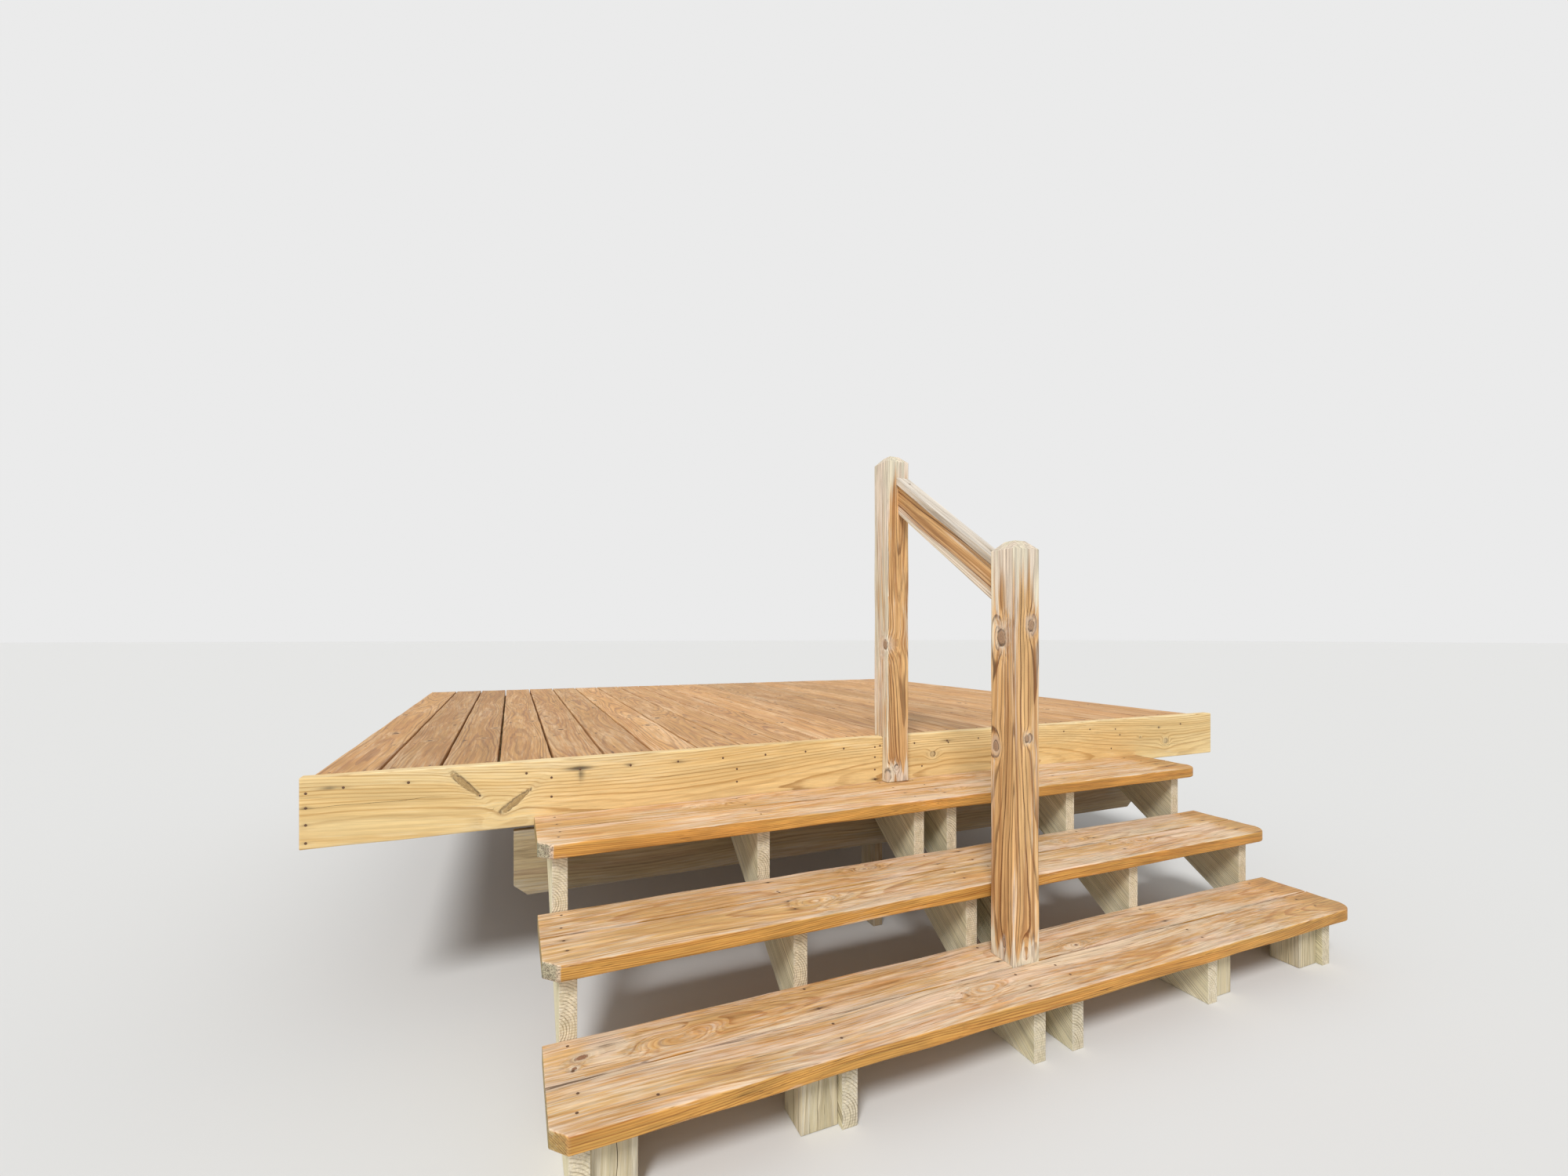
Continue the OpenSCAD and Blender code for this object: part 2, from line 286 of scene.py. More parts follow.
        nearest = nearest & (apart < KNOT_REACH)
        here = np.stack([v, u, 0 * u] if spike else [u, v, 0 * u], -1) / radius
        here[..., 2] = deep_in
        knot_place = np.where(nearest[..., None], here, knot_place)
        loosened = np.where(nearest, loose, loosened)
        gap = bell(apart - 1.06, 0.13)
        loose_side = (v if spike else u) / (radius * np.maximum(apart, 0.2))
        gap = gap * np.clip(1.5 * loose_side + 0.1, 0.0, 1.0) * loose
        raised = hump * bell(apart, 1.3) - groove * bell(apart - 1.0, 0.16)
        push = (raised - gap_depth * gap) * scale[:, None] * on_face[:, side]
        s = s + push * FACES[side, 0]
        t = t + push * FACES[side, 1]

    # Each nail leaves a dimple and a stain drawn out along the grain; a smear is only a stain.
    dimple_depth, dimple_radius, smear_width = 0.0011, 0.0052, 0.005
    for side, at, line in nails:
        away = beside(side, line)
        smear = np.abs(run - at) / draw.uniform(0.006, 0.03) + (away / smear_width) ** 2
        smear = np.exp(-smear) * on_face[:, side]
        stain_and_crack_shade = np.maximum(stain_and_crack_shade, draw.uniform(0.3, 1.0) ** 2 * smear)
        dimple = dimple_depth * np.exp(-((run - at) ** 2 + away ** 2) / dimple_radius ** 2)
        dimple = dimple * on_face[:, side]
        s = s - dimple * FACES[side, 0]
        t = t - dimple * FACES[side, 1]
    for side, at, line, long, wide_of, strong in smears:
        away = np.abs(beside(side, line) / wide_of)
        fade = np.exp(-np.abs((run - at) / long) ** 1.5 - away ** 1.5)
        stain_and_crack_shade = np.maximum(stain_and_crack_shade, strong * fade * on_face[:, side])
    corner_near = np.minimum(np.abs(place), 1.0).min(-1) ** 3
    lot = draw.uniform(0.0, 1.0)
    lean = np.hypot(np.gradient(s, axis=0) * n[:, 0], np.gradient(t, axis=0) * n[:, 1])
    end_cut = lean / np.hypot(lean, np.abs(np.gradient(run, axis=0)) + 1e-6)

    # The points in space, and where each nail's head sits and faces.
    origin = np.array(corner, float)
    points = origin + run[..., None] * along + s[..., None] * across + t[..., None] * out
    heads = []
    for side, at, line in nails:
        away = beside(side, line)
        apart = (run - at) ** 2 + away ** 2 + 9.0 * ~on_face[:, side]     # other faces: far off
        row, column = np.unravel_index(np.argmin(apart), apart.shape)
        spot = points[row, column] + (at - run[row, column]) * along
        spot = spot - away[row, column] * (out if side in (0, 2) else across)
        heads.append(np.concatenate([spot, FACES[side, 0] * across + FACES[side, 1] * out]))

    def with_ends(value):
        """The value of each point, and for the middle point of each end the mean of its ring."""
        flat_value = value.reshape((-1,) + value.shape[2:])
        return np.concatenate([flat_value, value[:1].mean(1), value[-1:].mean(1)])

    log = np.stack([run + 3.0 + 40.0 * lot, log_a, log_b], -1)      # each from its own log
    marks = np.stack([loosened, corner_near, stain_and_crack_shade], -1)
    exposed = weather(run, s, t) if weather else 0.0
    lots = np.stack([lot + 0 * s, exposed + 0 * s, end_cut], -1)
    return Stick(with_ends(points), *section_faces(*s.shape), with_ends(log), with_ends(marks),
                 with_ends(lots), with_ends(knot_place), np.array(heads).reshape(-1, 6))


def fill(node, axes, seed, **more):
    """A stick that fills a node's box. It starts at the low end of each axis that points
    forwards and at the high end of each that points backwards."""
    low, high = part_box(node)
    corner = np.where(np.sum(axes, 0) < 0, high, low)
    return stick(axes, corner, *np.abs(np.array(axes) @ np.array(high - low)), seed, **more)


def join_sticks(name, sticks, material, node):
    """One object from one or more sticks: their points, faces and marks are laid end to end,
    and no point is let out of the node's box. It stands for that node of the frame and rides
    on the frame's only body."""
    low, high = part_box(node)
    verts = np.clip(np.concatenate([s.verts for s in sticks]), list(low), list(high))
    offset = np.cumsum([0] + [len(s.verts) for s in sticks[:-1]])
    quads = np.concatenate([s.quads + o for s, o in zip(sticks, offset)])
    fans = np.concatenate([s.fans + o for s, o in zip(sticks, offset)])
    loops = np.concatenate([quads.ravel(), fans.ravel()]).astype(np.int32)
    starts = np.concatenate([np.arange(len(quads)) * 4, len(quads) * 4 + np.arange(len(fans)) * 3])
    mesh = bpy.data.meshes.new(name)
    mesh.vertices.add(len(verts))
    mesh.vertices.foreach_set("co", verts.astype(np.float32).ravel())
    mesh.loops.add(len(loops))
    mesh.loops.foreach_set("vertex_index", loops)
    mesh.polygons.add(len(starts))
    mesh.polygons.foreach_set("loop_start", starts.astype(np.int32))
    mesh.update(calc_edges=True)
    for label in ("log", "marks", "lots", "knot"):
        layer = mesh.attributes.new(label, "FLOAT_VECTOR", "POINT")
        values = np.concatenate([getattr(s, label) for s in sticks]).astype(np.float32)
        layer.data.foreach_set("vector", values.ravel())
    mesh.validate()
    mesh.shade_smooth()
    mesh.set_sharp_from_angle(angle=np.radians(38.0))
    mesh.materials.append(material)
    piece = add_object(name, mesh)
    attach(piece, "root")
    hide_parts(node)


def colour(red, green, blue):
    """A colour read off in ordinary 0 to 255 steps, made linear for the shader."""
    c = np.array([red, green, blue]) / 255.0
    c = np.where(c <= 0.04045, c / 12.92, ((c + 0.055) / 1.055) ** 2.4)
    return (float(c[0]), float(c[1]), float(c[2]), 1.0)


def new_material(name):
    """An empty material and its node tree."""
    material = bpy.data.materials.new(name)
    material.use_nodes = True
    material.node_tree.nodes.clear()
    return material, material.node_tree


def add_node(tree, kind, inputs=(), **given):
    """A new shader node, with a value or another node's output for each input that is named."""
    made = tree.nodes.new("ShaderNode" + kind)
    for key, value in given.items():
        setattr(made, key, value)
    for key, value in inputs:
        if isinstance(value, bpy.types.NodeSocket):
            tree.links.new(value, made.inputs[key])
        else:
            made.inputs[key].default_value = value
    return made


def add_surface(tree, look):
    """The material's one surface, with a value or a socket for each input that is named."""
    surface = add_node(tree, "BsdfPrincipled", look)
    add_node(tree, "OutputMaterial", [(0, surface.outputs[0])])


def wood(name, pale, dark, broad, knot, worn, ring=0.0045, ring_show=0.8, wear_top=0.5,
         wear_side=0.15, edge_wear=0.3, fibre_show=0.35, fine=560.0, band=40.0, band_show=0.6,
         dash=9.0, late=0.3, cracks=0.5, end_show=0.8, halo=0.8, shade=0.22, rough=0.68,
         relief=0.9, saw=0.0, side=None, ragged_by=1.0, tinge=None, worn_splits=0.0,
         loose_pale=0.0, end_tone=(190, 188, 176)):
    """Softwood from its place in the log, with colours in 0 to 255 steps. The year rings are
    circles round the pith, `ring` metres apart and bent a little by noise, `pale` in spring and
    `dark` from `late` in the year. Bands of `broad`, fibres, streaks and splits are noise drawn
    out along the log; `band` and `fine` are waves per metre across it, `dash` those of the worn
    flecks along it. The splits are drawn dark by `cracks`: painted shade in them. Weather
    bleaches to `worn`, with patches of `tinge`, what faces up and what the stick's own marks say.
    Long faces that don't face up are multiplied by `side`, and wood cut across its grain by
    `end_tone`. Knots have a rim, ragged by `ragged_by`; a loose one fades by `loose_pale` and has
    painted shade on its open side. Stains are grey-black, and so is the painted shade at the
    bottom of a crack. `shade` is how much one stick differs from the next, `saw` the depth of the
    saw's marks and `relief` that of the bump."""
    pale, dark, broad, knot, worn = (colour(*c) for c in (pale, dark, broad, knot, worn))
    material, tree = new_material(name)

    def put(kind, inputs=(), **given):
        return add_node(tree, kind, inputs, **given)

    def calc(operation, *values):
        return put("Math", enumerate(values), operation=operation).outputs[0]

    def total(*terms):
        """The sum of value * weight pairs; a third number is taken off the value first."""
        result = 0.0
        for term in terms:
            value = calc("SUBTRACT", term[0], term[2]) if len(term) > 2 else term[0]
            result = calc("MULTIPLY_ADD", value, term[1], result)
        return result

    def ramp(value, low, high, to_low=0.0, to_high=1.0, kind="SMOOTHSTEP"):
        given = enumerate((value, low, high, to_low, to_high))
        return put("MapRange", given, interpolation_type=kind).outputs[0]

    def blend(factor, first, second, how="MIX"):
        """Two colours mixed; 6, 7 and 2 are the places of a Mix node's colour sockets."""
        given = ((0, factor), (6, first), (7, second))
        return put("Mix", given, data_type="RGBA", blend_type=how).outputs[2]

    def split(vector):
        return put("SeparateXYZ", [(0, vector)]).outputs

    def read(label):
        return put("Attribute", attribute_name=label).outputs["Vector"]

    def drawn_out(along, across, detail, seed, roughness=0.6):
        """Noise with so many waves per metre along and across the log."""
        scaled = put("VectorMath", ((0, log), (1, (along, across, across))), operation="MULTIPLY")
        given = (("Vector", scaled.outputs[0]), ("W", calc("MULTIPLY_ADD", lot, 40.0, seed)),
                 ("Scale", 1.0), ("Detail", detail), ("Roughness", roughness))
        return put("TexNoise", given, noise_dimensions="4D").outputs[0]

    # What the stick says of each point.
    log = read("log")
    place = split(log)
    loosened, edge_near, stain_and_crack_shade_mark = split(read("marks"))
    knot_place = read("knot")
    knot_near = put("VectorMath", [(0, knot_place)], operation="LENGTH").outputs["Value"]
    lot, weather, end_cut = split(read("lots"))
    up = ramp(split(put("NewGeometry").outputs["Normal"])[2], 0.25, 0.9)

    # The year rings.
    radius = calc("SQRT", calc("ADD", calc("POWER", place[1], 2.0), calc("POWER", place[2], 2.0)))
    radius = total((radius, 1.0), (drawn_out(1.7, 11.0, 3.0, 0.0), 0.017, 0.5),
                   (drawn_out(9.0, 60.0, 2.0, 7.0), 0.0022, 0.5))
    turns = calc("ADD", calc("DIVIDE", radius, ring), 40.0)
    year = put("CombineXYZ", ((0, calc("FLOOR", turns)), (1, lot))).outputs[0]
    each = put("TexWhiteNoise", [("Vector", year)], noise_dimensions="2D").outputs["Value"]
    within = calc("FRACT", turns)
    summer = calc("MULTIPLY", ramp(within, late, 0.86), ramp(within, 0.93, 1.0, 1.0, 0.0))
    summer = calc("MULTIPLY", summer, ramp(each, 0.0, 1.0, 0.2, 1.0, "LINEAR"))

    # The noises, from fine to broad, and the clean wood.
    fibre = drawn_out(14.0, fine, 2.0, 3.0, 0.7)
    streak = drawn_out(3.0, 150.0, 3.0, 5.0)
    patch = drawn_out(1.6, 9.0, 2.0, 9.0)
    wide_band = drawn_out(0.9, band, 2.0, 11.0)
    fleck = drawn_out(dash, 240.0, 3.0, 13.0, 0.65)
    middling = drawn_out(4.0, 62.0, 2.0, 17.0)
    split_and_its_shade = total((drawn_out(4.5, 400.0, 1.0, 19.0), 1.0), (weather, worn_splits))
    split_and_its_shade = ramp(split_and_its_shade, 0.66, 0.73, 0.0, cracks)
    ring_strength = ramp(up, 0.0, 1.0, 1.0, ring_show) if side else ring_show
    tone = blend(calc("MULTIPLY", summer, ring_strength), pale, dark)
    tone = blend(ramp(wide_band, 0.42, 0.62, 0.0, band_show), tone, blend(0.65, tone, broad))
    if side:
        edge_grain = calc("SUBTRACT", 1.0, calc("MAXIMUM", up, end_cut))
        tone = blend(edge_grain, tone, blend(1.0, tone, colour(*side), "MULTIPLY"))
    light = total((fibre, 1.5 * fibre_show, 0.5), (streak, 2.2 * fibre_show, 0.5),
                  (middling, 1.0 * fibre_show, 0.5), (lot, shade, 0.5),
                  (patch, 0.7 * fibre_show, 0.5), (ramp(weather, -0.6, 0.0, -0.2, 0.0), 1.0))
    light = calc("ADD", light, 1.0)
    grey = put("CombineXYZ", enumerate([light] * 3)).outputs[0]
    tone = blend(1.0, tone, grey, "MULTIPLY")

    # The weather's work: bleached flecks, and splits drawn dark as painted shade in them.
    amount = total((up, wear_top - wear_side), (edge_near, edge_wear), (weather, 1.0))
    amount = calc("ADD", amount, wear_side)
    bare = total((patch, 0.32), (middling, 0.22), (fleck, 0.46), (amount, 0.25))
    bare = calc("MULTIPLY", ramp(bare, 0.55, 0.71), 0.78)
    bare = calc("MULTIPLY", bare, total((summer, -0.45), (1.0, 1.0)))
    bleached = worn
    if tinge:
        tinged = ramp(drawn_out(3.2, 26.0, 2.0, 25.0), 0.42, 0.6, 0.0, 0.6)
        bleached = blend(tinged, worn, colour(*tinge))
    tone = blend(bare, tone, blend(1.0, bleached, grey, "MULTIPLY"))
    tone = blend(split_and_its_shade, tone, blend(0.72, tone, colour(60, 36, 20)))

    # The knots: a pale halo, a core with its own rings, and a broken dark rim, which is wider and
    # darker on a loose knot's open side as painted shade in its gap.
    mottle = drawn_out(110.0, 110.0, 3.0, 21.0)
    clump = drawn_out(42.0, 42.0, 1.0, 23.0)
    ragged = total((mottle, 1.3 * ragged_by, 0.5), (clump, 1.2 * ragged_by, 0.5), (knot_near, 1.0))
    gap_shade_side = calc("DIVIDE", split(knot_place)[0], calc("MAXIMUM", knot_near, 0.2))
    gap_shade_side = calc("MULTIPLY", ramp(gap_shade_side, 0.1, 0.7), loosened)
    rim = calc("ABSOLUTE", calc("SUBTRACT", ragged, 0.98))
    rim = ramp(rim, 0.02, calc("MULTIPLY_ADD", gap_shade_side, 0.28, 0.17))
    dark_rim_and_gap_shade = calc("MAXIMUM", gap_shade_side, ramp(clump, 0.44, 0.54, 0.1, 0.95))
    rim = calc("MULTIPLY", calc("SUBTRACT", 1.0, rim), dark_rim_and_gap_shade)
    growth = ramp(calc("SINE", calc("MULTIPLY", ragged, 20.0)), -0.4, 1.0, 0.0, 0.45)
    core = ramp(ragged, 0.7, 1.15, 0.9, 0.0)
    knot = blend(ramp(loosened, 0.8, 1.0, 0.0, loose_pale), knot, worn)
    tone = blend(ramp(ragged, 0.9, 2.5, halo, 0.0), tone, blend(0.75, tone, worn))
    tone = blend(core, tone, blend(growth, knot, blend(0.6, knot, pale)))
    tone = blend(rim, tone, blend(0.7, tone, colour(58, 34, 20)))
    end_grain = ramp(end_cut, 0.45, 0.85, 0.0, end_show)
    tone = blend(end_grain, tone, blend(1.0, tone, colour(*end_tone), "MULTIPLY"))
    # Stains are drawn grey-black, and so is the painted shade at the bottom of each crack.
    tone = blend(ramp(stain_and_crack_shade_mark, 0.03, 0.9, 0.0, 0.85), tone, colour(44, 40, 42))

    # The surface: dull, and raised a little where the summer wood and the fibres stand up.
    height = total((summer, 0.55), (fibre, 0.8), (streak, 0.8), (rim, -0.7), (split_and_its_shade, -1.6))
    if saw:
        given = (("Vector", log), ("Scale", 90.0), ("Distortion", 1.5))
        saw_marks = put("TexWave", given, wave_type="BANDS", bands_direction="X")
        height = total((height, 1.0), (saw_marks.outputs["Fac"], saw))
    bump = put("Bump", (("Strength", relief), ("Distance", 0.0007), ("Height", height)))
    dull = total((fibre, 0.25, 0.5), (bare, 0.16), (summer, -0.1), (1.0, rough))
    add_surface(tree, (("Base Color", tone), ("Roughness", dull), ("Specular IOR Level", 0.32),
                       ("Normal", bump.outputs[0])))
    return material


frame_timber = wood("frame_timber", (168, 146, 104), (112, 92, 56), (150, 138, 96), (84, 58, 34),
                    (150, 142, 124), ring=0.005, ring_show=0.55, wear_top=0.2, wear_side=0.2,
                    rough=0.78, saw=0.5)
floor_joists = [f"floor_joist_{number}" for number in range(1, 6)]
for first_seed, axes, nodes in ((100, (X, Z, BACK), ["back_ledger", "front_joist"] + floor_joists),
                                (120, (Y, Z, X), ["left_ledger", "right_ledger"])):
    for seed, node in enumerate(nodes, first_seed):
        timber = fill(node, axes, seed, step=0.08, counts=(4, 12, 4, 8))
        join_sticks(node + "_timber", [timber], frame_timber, node)


# The rim board closes the front of the deck. It is a newer plank of yellow pine, nailed to the
# front joist and to the end of each deck plank, and it still has most of its clear coat.
PLANK_WIDE, PLANK_PITCH = 0.140, 0.146
RIM_NAIL_HEIGHT, RIM_NAILS_END = 0.075, 1.10
rim_pine = wood("rim_pine", (236, 206, 148), (170, 124, 66), (214, 170, 100), (158, 126, 80),
                (236, 216, 172), ring=0.0064, ring_show=0.85, wear_top=0.4, wear_side=0.1,
                edge_wear=0.2, fibre_show=0.28, band=22.0, late=0.55, cracks=0.3, halo=0.3,
                ragged_by=0.6, loose_pale=0.4, shade=0.0, rough=0.6, relief=0.6)
rim_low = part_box("front_rim")[0]
first_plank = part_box("deck_boards_1")[0].x + PLANK_WIDE / 2
rim_nails = [(x, RIM_NAIL_HEIGHT) for x in np.arange(first_plank, RIM_NAILS_END, PLANK_PITCH)]
rim_nails[2] = (-1.276, 0.022)      # this one sits low, and the others below off the pitch
for x, column in ((-1.674, (0.067, 0.030, -0.013, -0.059)), (-1.089, (0.057, 0.002)),
                  (-0.525, (0.036, -0.005)), (-0.009, (0.072, 0.036, -0.008, -0.042)),
                  (0.191, (-0.011,)), (0.310, (0.068,)), (1.158, (-0.013,)), (1.183, (0.068,)),
                  (1.210, (0.042,)), (1.452, (0.060,)), (1.595, (0.068,))):
    rim_nails += [(x, z) for z in column]
rim_knots = [(-1.312, 0.057, 0.0086, 5.4, -44.0, 0.8), (-1.184, -0.002, 0.0086, 5.6, 38.0, 0.8),
             (0.239, 0.029, 0.010, 1.1, 0.0, 1), (1.335, 0.024, 0.004, 1.3, 0.0, 0.2),
             (1.495, -0.002, 0.011, 1.1, 0.0, 1)]
rim_smears = [(-1.012, 0.078, 0.044, 0.008, 1.0), (-1.008, 0.062, 0.009, 0.026, 0.75),
              (-1.624, 0.077, 0.028, 0.006, 0.7), (-0.868, 0.076, 0.016, 0.006, 0.7),
              (-0.714, 0.074, 0.032, 0.006, 0.6), (1.316, 0.020, 0.007, 0.060, 0.22)]
rim_nails, rim_knots, rim_smears = (
    [(1, x - rim_low.x, z - rim_low.z, *rest) for x, z, *rest in marks]
    for marks in (rim_nails, rim_knots, rim_smears))
rim_cracks = [(1, 0.15, 0.0, 0.34, 0.0012, 0.004), (1, -0.4, 3.1, 3.49, 0.0010, 0.004)]
rim_stick = fill("front_rim", (X, Z, BACK), 201, step=0.02, counts=(10, 44, 6, 10),
                 knots=rim_knots, cracks=rim_cracks, nails=rim_nails, smears=rim_smears,
                 pith=(0.034, -0.078), ring_drift=0.016, worn=0.0008)
join_sticks("front_rim_board", [rim_stick], rim_pine, "front_rim")
nail_spots = [rim_stick.heads]


# The deck is laid with stained pine planks that run from front to back. Each is cupped a little,
# with open joints between them, and the stain has turned reddish brown.
DECK_NAILS = (0.028, 0.112)
deck_pine = wood("deck_pine", (202, 155, 100), (122, 78, 44), (170, 116, 72), (78, 48, 30),
                 (214, 184, 148), ring=0.005, ring_show=0.75, wear_top=0.3, wear_side=0.1,
                 edge_wear=0.15, band=34.0, shade=0.42, rough=0.66)
joist_boxes = [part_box(node) for node in ["front_joist"] + floor_joists]
joist_lines = [(low.y + high.y) / 2 for low, high in joist_boxes]
for bay in range(1, 7):
    node = f"deck_boards_{bay}"
    low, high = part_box(node)
    count = int(round((high.x - low.x - PLANK_WIDE) / PLANK_PITCH)) + 1
    planks = []
    for number in range(count):
        seed = 300 + 10 * bay + number
        draw = np.random.default_rng(seed)
        knots = [(1, draw.uniform(0.15, 2.5), draw.uniform(0.02, 0.12), draw.uniform(0.006, 0.011),
                  draw.uniform(1.0, 1.5), draw.uniform(-20, 20), 1) for _ in range(3)]
        nails = [(1, y - low.y + draw.uniform(-0.006, 0.006), line + draw.uniform(-0.004, 0.004))
                 for y in joist_lines for line in DECK_NAILS]
        right = low.x + number * PLANK_PITCH + PLANK_WIDE
        planks.append(stick((Y, LEFT, Z), (right, low.y, low.z), high.y - low.y, PLANK_WIDE,
                            high.z - low.z, seed, step=0.06, counts=(2, 18, 2, 4), knots=knots,
                            nails=nails, cup=0.0011, worn=0.0010))
    nail_spots += [plank.heads for plank in planks]
    join_sticks(f"deck_planks_{bay}", planks, deck_pine, node)


# The hanger board hangs below the rim, and the stringers are nailed to it. It is an older treated
# plank, greyed by weather, with its lower corners sawn off. A short leg stands behind it.
CLIP_LONG, CLIP_HIGH = 0.037, 0.031
hanger_timber = wood("hanger_timber", (178, 158, 122), (120, 98, 66), (168, 140, 112),
                     (84, 60, 38), (176, 166, 148), ring=0.0055, ring_show=0.6, wear_side=0.32,
                     rough=0.78)
hanger_low, hanger_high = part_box("hanger_board")
hanger_long = (hanger_high - hanger_low).x


def hanger_bottom(l):
    """The lower edge of the hanger board: straight, with a sloping cut at both ends."""
    from_end = np.minimum(l, hanger_long - l)
    return CLIP_HIGH * (1.0 - np.clip(from_end / CLIP_LONG, 0.0, 1.0))


hanger = fill("hanger_board", (X, Z, BACK), 401, counts=(6, 30, 6, 10), low=hanger_bottom,
              ease=0.003, stops=[CLIP_LONG, hanger_long - CLIP_LONG],
              knots=[(1, 0.62, 0.12, 0.011, 1.3, 10.0, 1), (1, 1.9, 0.05, 0.009, 1.2, 0.0, 1)])
join_sticks("hanger_board_timber", [hanger], hanger_timber, "hanger_board")
leg = fill("centre_leg", (Z, LEFT, BACK), 402, step=0.04, counts=(14, 6, 14, 6), ease=0.002)
join_sticks("centre_leg_timber", [leg], hanger_timber, "centre_leg")


# Six stringers carry the treads. Each is sawn from one wide treated plank laid along the slope, so
# the grain runs up the slope and the upright cuts show it end on. They are bare and bleached.
RISE, RUN, STEPS = 0.178, 0.254, 3
TREAD_THICK, STRINGER_DEEP = 0.038, 0.213
slope = np.arctan2(RISE, RUN)
stringer_timber = wood("stringer_timber", (232, 222, 188), (152, 136, 102), (204, 195, 154),
                       (120, 94, 66), (222, 216, 192), ring=0.0058, ring_show=1.0, wear_top=0.4,
                       wear_side=0.25, late=0.5, end_show=0.9, end_tone=(242, 238, 245),
                       shade=0.14, rough=0.8, saw=0.7)


def stringer_stick(node, seed):
    """A stringer as a strip along its slope. Its outline is a ring of corners, turned into the
    slope's own frame; the upper edge joins the teeth, the lower one the back cut and the foot.
    A tenth of a millimetre keeps the two edges apart where they meet."""
    low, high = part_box(node)
    seat = low.z + RISE - TREAD_THICK
    drop = STRINGER_DEEP / np.cos(slope)
    foot = low.y + (low.z - seat + drop) / np.tan(slope)
    upper = [(low.y, low.z)]
    for k in range(STEPS):
        upper += [(low.y + k * RUN, seat + k * RISE), (low.y + (k + 1) * RUN, seat + k * RISE)]
    lower = [(low.y, low.z), (foot, low.z), (high.y, seat + STEPS * RISE - drop), upper[-1]]
    turn = np.array([[np.cos(slope), -np.sin(slope)], [np.sin(slope), np.cos(slope)]])
    upper, lower = np.array(upper) @ turn, np.array(lower) @ turn
    start, stop = upper[0, 0], upper[-1, 0]
    base = lower[:, 1].min()
    corner_y, corner_z = np.array([start, base]) @ turn.T
    corners, beside = np.concatenate([upper[1:-1, 0], lower[1:-1, 0]]) - start, 0.0015
    stops = np.concatenate([corners - beside, corners, corners + beside])
    return stick(((0, np.cos(slope), np.sin(slope)), (0, -np.sin(slope), np.cos(slope)), X),
                 (low.x, corner_y, corner_z), stop - start, STRINGER_DEEP, high.x - low.x, seed,
                 step=0.02, counts=(8, 16, 6, 16), ease=0.0016, blunt=0.0012,
                 low=lambda l: np.interp(l + start, lower[:, 0], lower[:, 1]) - base,
                 high=lambda l: np.interp(l + start, upper[:, 0], upper[:, 1]) - base + 1e-4,
                 stops=stops, pith=(0.11 + 0.01 * (seed % 3), -0.012), worn=0.0004)


for number in range(1, 7):
    node = f"stringer_{number}"
    join_sticks(node + "_timber", [stringer_stick(node, 500 + number)], stringer_timber,
                node)


# Four short posts stand beside the outer stringers and hold up the lowest tread. They are
# off-cuts of treated square post, with the grain upright and one long crack each.
stub_timber = wood("stub_timber", (212, 198, 164), (156, 138, 104), (196, 186, 150), (110, 84, 52),
                   (206, 198, 180), ring=0.0065, ring_show=0.7, wear_top=0.3, wear_side=0.3,
                   shade=0.12, rough=0.8)
for number in range(1, 5):
    node = f"stub_post_{number}"
    low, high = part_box(node)
    crack = (1, -0.3 + 0.2 * number, 0.0, (high - low).z, 0.0016, 0.006)
    post = fill(node, (Z, LEFT, BACK), 600 + number, step=0.02, counts=(18, 18, 12, 12),
                pith=(0.03, 0.02), cracks=[crack])
    join_sticks(node + "_timber", [post], stub_timber, node)


# Each tread is two planks laid flat with a seam between them and nailed to the stringers. The
# front plank has a sawn left corner and a rounded right one. Stain stays on the front edge,
# while wear and rain have turned the top to pale grey and cream streaks.
CLIP_LEFT, ROUND_RIGHT, SEAM_EDGE = 0.032, 0.058, 0.005
STEP_SIDE = 5e-5        # how near to a square step a cross section stands
tread_pine = wood("tread_pine", (215, 172, 113), (158, 98, 50), (204, 140, 80), (126, 78, 56),
                  (223, 206, 181), ring=0.0042, ring_show=0.72, wear_top=0.42, wear_side=0.0,
                  edge_wear=0.2, fibre_show=0.52, fine=320.0, band=36.0, dash=15.0, late=0.4,
                  cracks=0.8, shade=0.08, rough=0.64, relief=0.45, side=(250, 236, 188),
                  tinge=(216, 190, 173), worn_splits=0.13, end_tone=(164, 192, 188))
tread_knots = {
    "tread_1_rear": [(0.073, 0.068, 0.0075, 1.9, 12.0, 0), (0.057, 0.038, 0.004, 1.4, 0.0, 0),
                     (0.256, 0.047, 0.015, 2.2, -8.0, -1), (0.33, 0.064, 0.012, 1.8, 6.0, -1),
                     (1.408, 0.024, 0.0042, 1.6, 5.0, 0.5), (1.408, 0.026, 0.011, 2.2, 5.0, -1)],
    "tread_1_front": [(1.02, 0.09, 0.013, 2.4, 4.0, -1)],
    "tread_2_rear": [(0.91, 0.095, 0.0045, 1.6, 0.0, 0.4), (0.91, 0.095, 0.013, 2.2, 0.0, -1),
                     (0.606, 0.040, 0.003, 1.2, 0.0, 0), (1.7, 0.05, 0.012, 2.2, 0.0, -1)],
    "tread_2_front": [(0.674, 0.087, 0.013, 2.2, 6.0, -1), (1.9, 0.1, 0.011, 2.0, 6.0, -1)],
    "tread_3_rear": [(0.5, 0.07, 0.012, 2.2, 0.0, -1)],
    "tread_3_front": [(1.3, 0.09, 0.012, 2.0, 0.0, -1)],
}
tread_nails = {"front": (0.060, 0.111), "rear": (0.037, 0.115)}
stringer_boxes = [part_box(f"stringer_{number}") for number in range(1, 7)]
stringer_centres = [(low.x + high.x) / 2 for low, high in stringer_boxes]
post_low, post_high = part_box("newel_lower")


